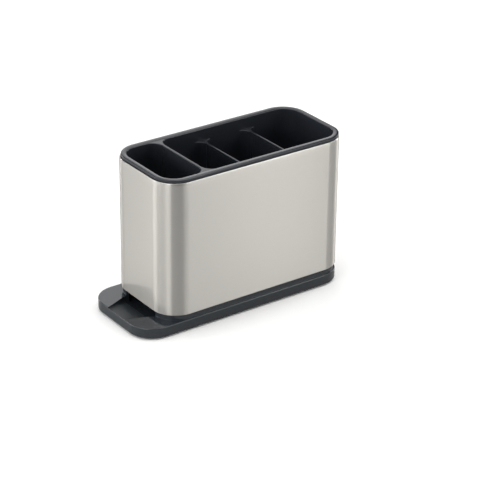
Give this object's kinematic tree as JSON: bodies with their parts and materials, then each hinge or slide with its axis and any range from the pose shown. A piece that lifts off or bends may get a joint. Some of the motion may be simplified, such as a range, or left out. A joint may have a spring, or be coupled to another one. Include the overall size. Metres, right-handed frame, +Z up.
{
  "type": "cutlery drainer",
  "caption": "Cutlery drainer: steel sleeve with a lift-out caddy in separate bays, standing on a drip tray with a pouring spout.",
  "frame": {"origin": "on the standing surface, under the middle of the drip tray", "axes": "+X along the tray, away from the spout; +Y towards the back; +Z up"},
  "size_m": [0.24, 0.1, 0.1587],
  "materials": {
    "tray_plastic": "smooth moulded, dark slate grey",
    "caddy_plastic": "satin moulded, dark slate grey",
    "sleeve_steel": "brushed, with the grain running round the sleeve",
    "foot_rubber": "matte black"
  },
  "bodies": {
    "tray": {"drip_tray": "tray_plastic", "foot_front_left": "foot_rubber", "foot_front_right": "foot_rubber", "foot_back_left": "foot_rubber", "foot_back_right": "foot_rubber"},
    "sleeve": {"steel_sleeve": "sleeve_steel"},
    "caddy": {"inner_caddy": "caddy_plastic"}
  },
  "joints": [
    {"name": "sleeve_lift", "type": "slide", "parent": "tray", "child": "sleeve", "axis": [0, 0, 1], "range_m": [0, 0.06]},
    {"name": "caddy_lift", "type": "slide", "parent": "sleeve", "child": "caddy", "axis": [0, 0, 1], "range_m": [0, 0.15]}
  ]
}
